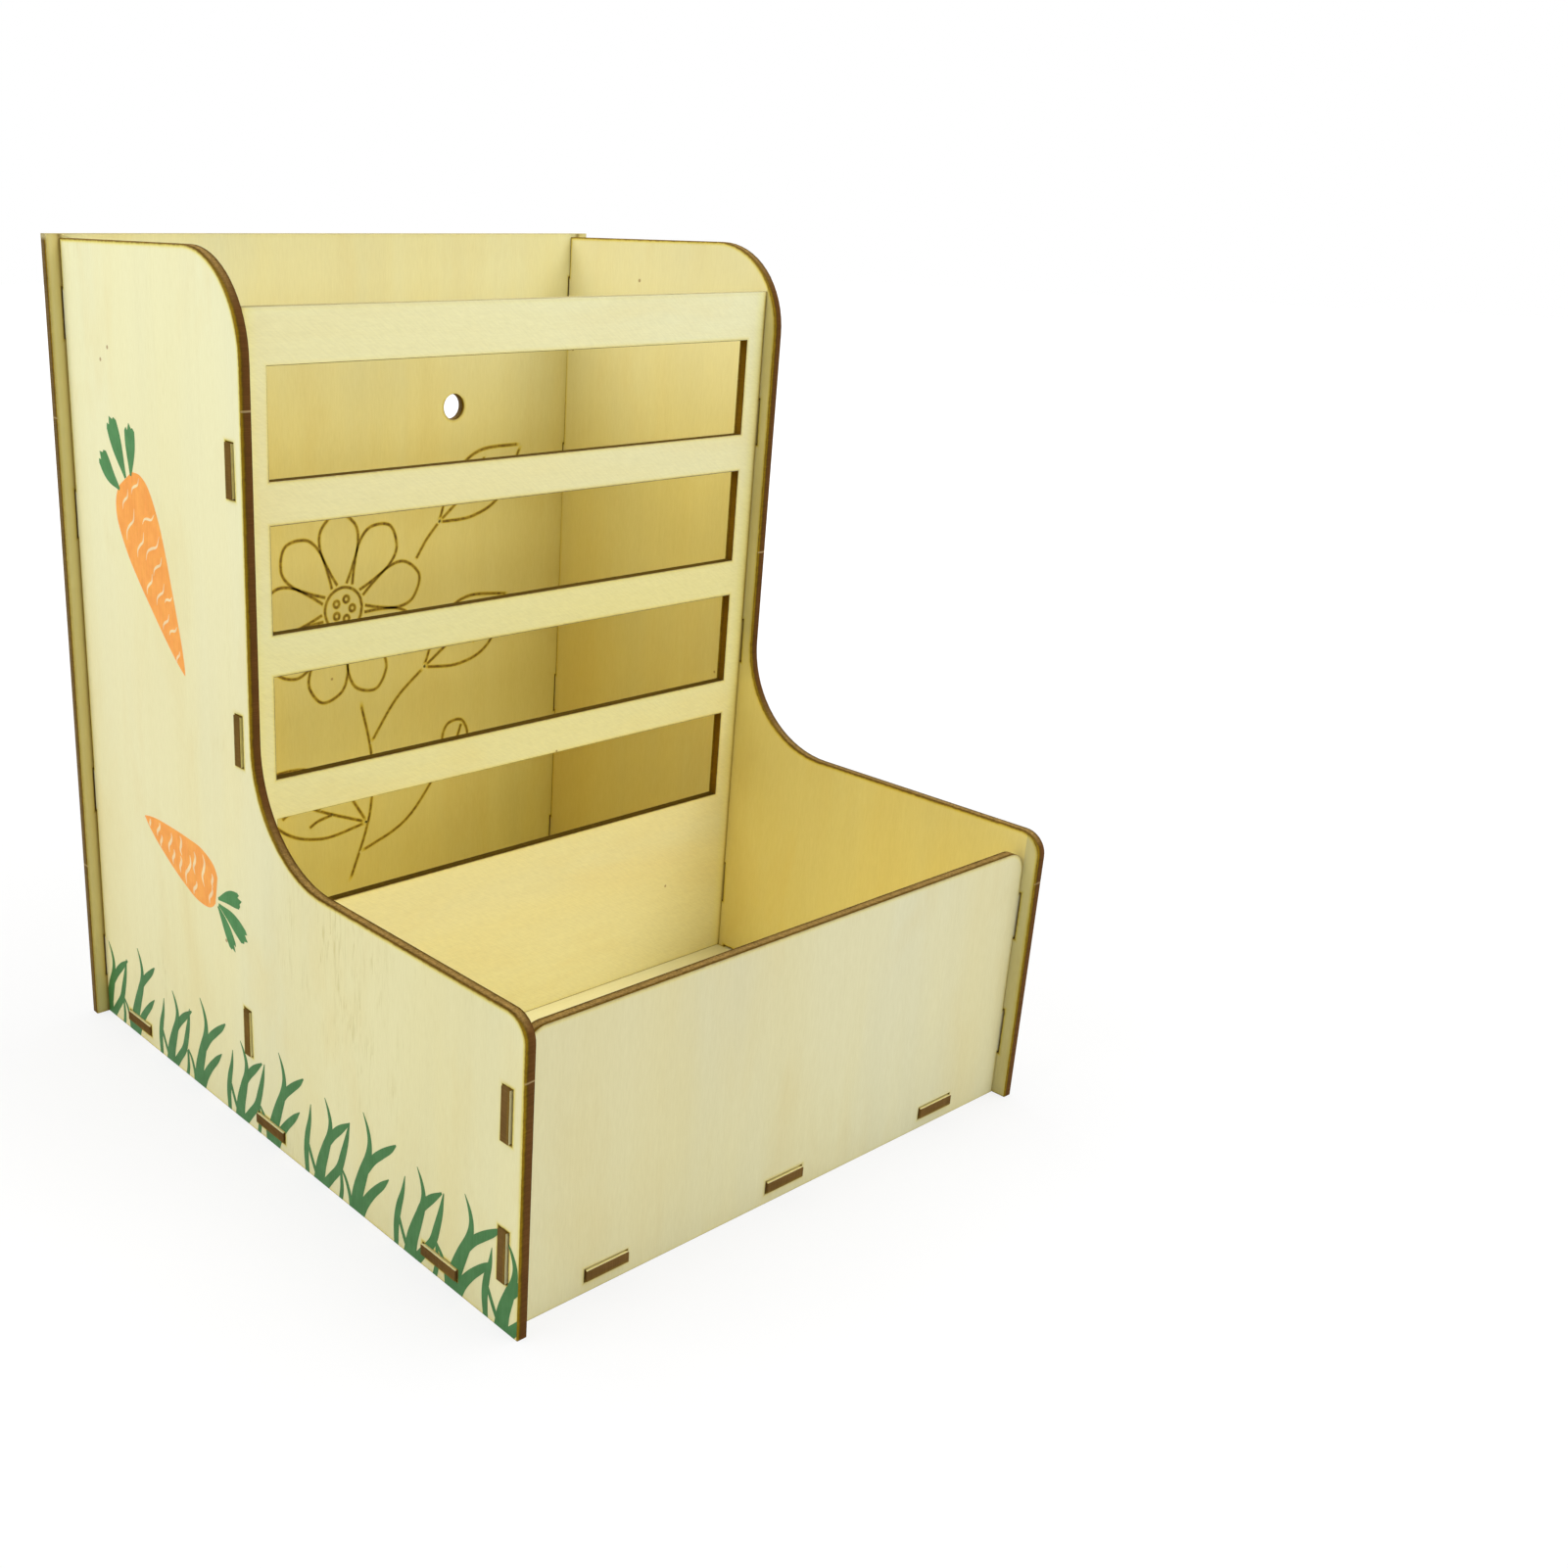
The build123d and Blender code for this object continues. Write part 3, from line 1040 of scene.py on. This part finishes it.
class FEEDER_OT_sides(bpy.types.Operator):
    """Finishes the two sides"""

    bl_idname = "feeder.sides"
    bl_label = "Sides"

    def execute(self, context):
        settings = context.scene.feeder_sheet
        nibs = {
            "side_left": ((0, 0.006, 0.1674), (0, 0.0053, 0.0818), (0, -0.088, 0.0566)),
            "side_right": ((0, -0.088, 0.0573), (0, 0.006, 0.1212)),
        }
        # Painted shade and interreflection on the inner faces: darker and yellower low down, paler at the top.
        tones = (
            (0.04, settings.low_inner_shade), (0.1, settings.inner_shade_tint), (0.135, settings.inner_shade_tint), (0.19, (1.03, 1.03, 1.02))
        )
        # Past the back's inner face the tabs of the sides are painted dark: scorch and painted shade in its
        # slots.
        behind = (("Y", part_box("back_panel")[0].y),)
        rear = (("Y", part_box("back_panel")[1].y - TAB_END),)
        for (name, side, hand), shift in zip(SIDES, ((0.31, 0.12, 0.4), (1.43, 0.55, 0.9))):
            face = veneer(
                "side_veneer_" + side, settings, 2, shift, flecks=1.0, inner=int(hand < 0), inner_tones=tones,
                ripple=(0.08 * hand, -0.03, 0.055), slot_scorch_and_shade=behind
            )
            edge = cut_edge("side_cut_edge_" + side, settings, 0, shift, ends=rear, nibs=nibs[name])
            finish_panel(name, settings, face, edge)
        return {"FINISHED"}


def back_face(name, settings, burn):
    """Veneer of the back, which its burnt drawing shares."""
    # Painted shade and interreflection by height on the inner face of the back.
    tones = (
        (0.04, (1.02, 0.94, 0.54)), (0.1, settings.inner_shade_tint), (0.135, settings.inner_shade_tint), (0.19, (1.0, 1.0, 0.94))
    )
    # Its strips beside the sides take painted shade.
    return veneer(
        name, settings, 2, BACK_SHIFT, flecks=0.25, bands=0.035, inner=0, inner_tones=tones,
        strips=(0.79, 0.74, 0.59), burn=burn, bare=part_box("back_panel")[1].z, joint=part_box("side_right")[1].x
    )


class FEEDER_OT_back(bpy.types.Operator):
    """Finishes the back"""

    bl_idname = "feeder.back"
    bl_label = "Back"

    def execute(self, context):
        settings = context.scene.feeder_sheet
        face = back_face("back_veneer", settings, burn=0.6)
        edge = cut_edge(
            "back_cut_edge", settings, 1, BACK_SHIFT, char=settings.ashen, bare=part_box("back_panel")[1].z,
            nibs=((-0.0835, 0, 0.1583), (-0.0835, 0, 0.043))
        )
        finish_panel("back_panel", settings, face, edge)
        return {"FINISHED"}


class FEEDER_OT_rack(bpy.types.Operator):
    """Finishes the rack"""

    bl_idname = "feeder.rack"
    bl_label = "Rack"

    def execute(self, context):
        settings = context.scene.feeder_sheet
        shift = (0.8, 1.9, 0.66)
        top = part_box("rack_panel")[1].z
        # Painted light by height: brighter low down, where the trough floor throws light on the board, and
        # towards the top rail.
        tones = (
            (0.04, (1.08, 1.07, 1.11)), (0.08, (1.04, 1.03, 0.9)), (0.114, (0.99, 1.0, 0.89)),
            (0.147, (1.0, 1.01, 1.0)), (0.182, (1.02, 1.05, 1.09))
        )
        face = veneer(
            "rack_veneer", settings, 0, shift, flecks=0.12, shimmer=0.45, tones=tones, burn=0.6, bare=top,
            joint=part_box("side_right")[0].x
        )
        edge = cut_edge(
            "rack_cut_edge", settings, 1, shift, entry=1, char=settings.bronze, core=settings.umber,
            ends=through_sides(), bare=top
        )
        finish_panel("rack_panel", settings, face, edge)
        return {"FINISHED"}


class FEEDER_OT_front(bpy.types.Operator):
    """Finishes the front of the trough"""

    bl_idname = "feeder.front"
    bl_label = "Front"

    def execute(self, context):
        settings = context.scene.feeder_sheet
        shift, ends = (0.27, 0.6, 1.7), through_sides()
        # A darker, greyer tint over the front: the greyer hue its own veneer, the darkening painted shade.
        tones = ((0.02, (0.86, 0.86, 0.88)), (0.06, (0.86, 0.86, 0.9)))
        face = veneer(
            "front_veneer", settings, 2, shift, flecks=0.15, bands=0.045, tones=tones, burn=0.6, clean=ends
        )
        edge = cut_edge("front_cut_edge", settings, 1, shift, ends=ends)
        finish_panel("front_panel", settings, face, edge)
        return {"FINISHED"}


class FEEDER_OT_floor(bpy.types.Operator):
    """Finishes the floor of the bin and of the trough"""

    bl_idname = "feeder.floor"
    bl_label = "Floor"

    def execute(self, context):
        settings = context.scene.feeder_sheet
        shift = (1.1, 0.2, 0.5)
        before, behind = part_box("front_panel")[0].y - PAST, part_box("back_panel")[1].y - TAB_END
        ends = (*through_sides(), ("Y", before), ("Y", behind))
        face = veneer("floor_veneer", settings, 0, shift, flecks=0.3, clean=ends)
        edge = cut_edge("floor_cut_edge", settings, 2, shift, ends=ends)
        finish_panel("floor_panel", settings, face, edge)
        return {"FINISHED"}


class FEEDER_OT_grass(bpy.types.Operator):
    """Prints the strip of grass along the bottom of both sides"""

    bl_idname = "feeder.grass"
    bl_label = "Grass print"

    def execute(self, context):
        settings = context.scene.feeder_print
        green = ink("grass_ink", settings.green)
        rear = -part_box("back_panel")[0].y + GRASS_ROOM
        front = -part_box("side_left")[0].y - GRASS_ROOM
        blades = tuft_blades(settings.tuft_pitch, rear, front)
        for name, side, hand in SIDES:
            place = outer_face(name, hand)
            pieces = [
                ink_patch("blade", outline, settings.ink * (1 + 0.04 * (number % 13)), place)
                for number, outline in enumerate(cut_round_tabs(blades, hand))
            ]
            settle(join("grass_print_" + side, pieces), "side_ply", green)
        return {"FINISHED"}


class FEEDER_OT_carrots(bpy.types.Operator):
    """Prints the two carrots on both sides"""

    bl_idname = "feeder.carrots"
    bl_label = "Carrot prints"

    def execute(self, context):
        settings = context.scene.feeder_print
        green = ink("carrot_leaf_ink", settings.leafy)
        orange = ink("carrot_ink", settings.orange)
        cream = ink("wrinkle_ink", settings.cream)
        for name, side, hand in SIDES:
            place = outer_face(name, hand)
            roots, leaves, wrinkles = [], [], []
            for carrot in CARROTS:
                roots.append(ink_patch("root", carrot_outline(carrot), settings.ink, place))
                for number, leaf in enumerate(carrot["leaves"]):
                    height = settings.ink * (1.3 + 0.08 * number)
                    leaves.append(ink_patch("leaf", leaf_outline(*leaf), height, place))
                for number, wrinkle in enumerate(carrot["wrinkles"]):
                    height = settings.ink * (1.6 + 0.05 * number)
                    wrinkles.append(ink_patch("wrinkle", wrinkle_outline(carrot, *wrinkle), height, place))
            settle(join("carrot_roots_" + side, roots), "side_ply", orange)
            settle(join("carrot_leaves_" + side, leaves), "side_ply", green)
            settle(join("carrot_wrinkles_" + side, wrinkles), "side_ply", cream)
        return {"FINISHED"}


class FEEDER_OT_engraving(bpy.types.Operator):
    """Burns the sprig into the inside of the back"""

    bl_idname = "feeder.engraving"
    bl_label = "Engraved sprig"

    def execute(self, context):
        settings = context.scene.feeder_engraving
        place = inner_back()
        pieces = [burnt_line("line", millimetres(line), settings, place) for line in sprig_lines()]
        face = back_face("back_burnt_veneer", context.scene.feeder_sheet, burn=1.0)
        settle(join("back_engraving", pieces), "back_ply", face)
        return {"FINISHED"}


class FEEDER_OT_stage(bpy.types.Operator):
    """Sets up the floor, the lamps, the surroundings and the camera"""

    bl_idname = "feeder.stage"
    bl_label = "Stage"

    def execute(self, context):
        settings = context.scene.feeder_stage
        self.add_floor(settings)
        self.add_surroundings(context, settings)
        for name, location, size in LAMPS:
            self.add_lamp(name, location, size, getattr(settings, name.lower()))
        self.add_camera(context)
        context.scene.view_settings.view_transform = "Standard"
        return {"FINISHED"}

    def seen_directly(self, tree):
        """1 where the camera sees something straight, or in a mirror or a glass."""
        path = node("LightPath", tree=tree)
        seen = reckon("MAXIMUM", path.outputs["Is Camera Ray"], path.outputs["Is Glossy Ray"])
        return reckon("MAXIMUM", seen, path.outputs["Is Transmission Ray"])

    def add_floor(self, settings):
        """A plain pale floor that keeps the shadow of the box."""
        bpy.ops.object.select_all(action="DESELECT")
        bpy.ops.mesh.primitive_plane_add(size=8.0, location=(0.0, 0.0, 0.0))
        floor = bpy.context.active_object
        floor.name = "studio_floor"
        material, tree, surface = new_material("studio_floor")
        surface.inputs["Base Color"].default_value = (*settings.floor, 1.0)
        surface.inputs["Roughness"].default_value = 0.9
        surface.inputs["Specular IOR Level"].default_value = 0.0
        away = node("VectorMath", {0: place_in_sheet(tree)}, operation="LENGTH")
        strength = spread(away.outputs["Value"], 0.25, 0.9, 1.05, 1.5)
        glow = node("Emission", {"Color": WHITE, "Strength": strength})
        share = reckon("MULTIPLY", self.seen_directly(tree), 0.75)
        both = node("MixShader", {0: share, 1: surface.outputs[0], 2: glow.outputs[0]})
        tree.links.new(both.outputs[0], tree.nodes["Material Output"].inputs["Surface"])
        floor.data.materials.append(material)

    def add_surroundings(self, context, settings):
        """White behind the box, and soft light from all around."""
        world = bpy.data.worlds.new("studio")
        context.scene.world = world
        world.use_nodes = True
        tree = world.node_tree
        light = tree.nodes["Background"]
        light.inputs["Color"].default_value = WHITE
        light.inputs["Strength"].default_value = settings.ambient
        white = node("Background", {"Color": WHITE, "Strength": 1.0}, tree)
        shaders = {0: self.seen_directly(tree), 1: light.outputs[0], 2: white.outputs[0]}
        both = node("MixShader", shaders)
        tree.links.new(both.outputs[0], tree.nodes["World Output"].inputs["Surface"])

    def add_lamp(self, name, location, size, power):
        """A square soft lamp, turned to the middle of the box."""
        data = bpy.data.lights.new(name, "AREA")
        data.size = size
        data.energy = power
        lamp = bpy.data.objects.new(name, data)
        bpy.context.scene.collection.objects.link(lamp)
        turn = (LAMP_AIM - Vector(location)).to_track_quat("-Z", "Y")
        lamp.matrix_world = Matrix.Translation(location) @ turn.to_matrix().to_4x4()

    def add_camera(self, context):
        """The camera: slightly above the box, to the left of its front."""
        data = bpy.data.cameras.new("Camera")
        data.lens = CAMERA_LENS
        data.sensor_width = 36.0
        data.sensor_fit = "HORIZONTAL"
        data.shift_x, data.shift_y = CAMERA_SHIFT
        data.clip_start = 0.01
        camera = bpy.data.objects.new("Camera", data)
        context.scene.collection.objects.link(camera)
        camera.matrix_world = Matrix.Translation(CAMERA_PLACE)
        for angle, axis in CAMERA_TURN:
            camera.matrix_world = camera.matrix_world @ Matrix.Rotation(math.radians(angle), 4, axis)
        context.scene.camera = camera


class FEEDER_PT_sidebar(bpy.types.Panel):
    """Everything that finishes the hay feeder box, in order"""

    bl_idname = "FEEDER_PT_sidebar"
    bl_label = "Hay Feeder"
    bl_space_type = "VIEW_3D"
    bl_region_type = "UI"
    bl_category = "Hay Feeder"

    def draw(self, context):
        for name, _, operators in GROUPS:
            box = self.layout.box()
            settings = getattr(context.scene, name)
            for key in settings.__annotations__:
                box.prop(settings, key)
            for operator in operators:
                box.operator(operator.bl_idname)


# Name, class and operators of each group of settings.
GROUPS = (
    (
        "feeder_sheet",
        FeederSheetSettings,
        (FEEDER_OT_sides, FEEDER_OT_back, FEEDER_OT_rack, FEEDER_OT_front, FEEDER_OT_floor),
    ),
    ("feeder_print", FeederPrintSettings, (FEEDER_OT_grass, FEEDER_OT_carrots)),
    ("feeder_engraving", FeederEngravingSettings, (FEEDER_OT_engraving,)),
    ("feeder_stage", FeederStageSettings, (FEEDER_OT_stage,)),
)

CLASSES = (*(item for _, group, operators in GROUPS for item in (group, *operators)), FEEDER_PT_sidebar)


def register():
    for item in CLASSES:
        bpy.utils.register_class(item)
    for name, group, _ in GROUPS:
        setattr(bpy.types.Scene, name, bpy.props.PointerProperty(type=group))


def unregister():
    for name, _, _ in GROUPS:
        delattr(bpy.types.Scene, name)
    for item in reversed(CLASSES):
        bpy.utils.unregister_class(item)


def main():
    """Finishes the box piece by piece."""
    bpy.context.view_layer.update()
    register()
    bpy.ops.feeder.sides()
    bpy.ops.feeder.back()
    bpy.ops.feeder.rack()
    bpy.ops.feeder.front()
    bpy.ops.feeder.floor()
    bpy.ops.feeder.grass()
    bpy.ops.feeder.carrots()
    bpy.ops.feeder.engraving()
    bpy.ops.feeder.stage()


if __name__ == "__main__":
    main()
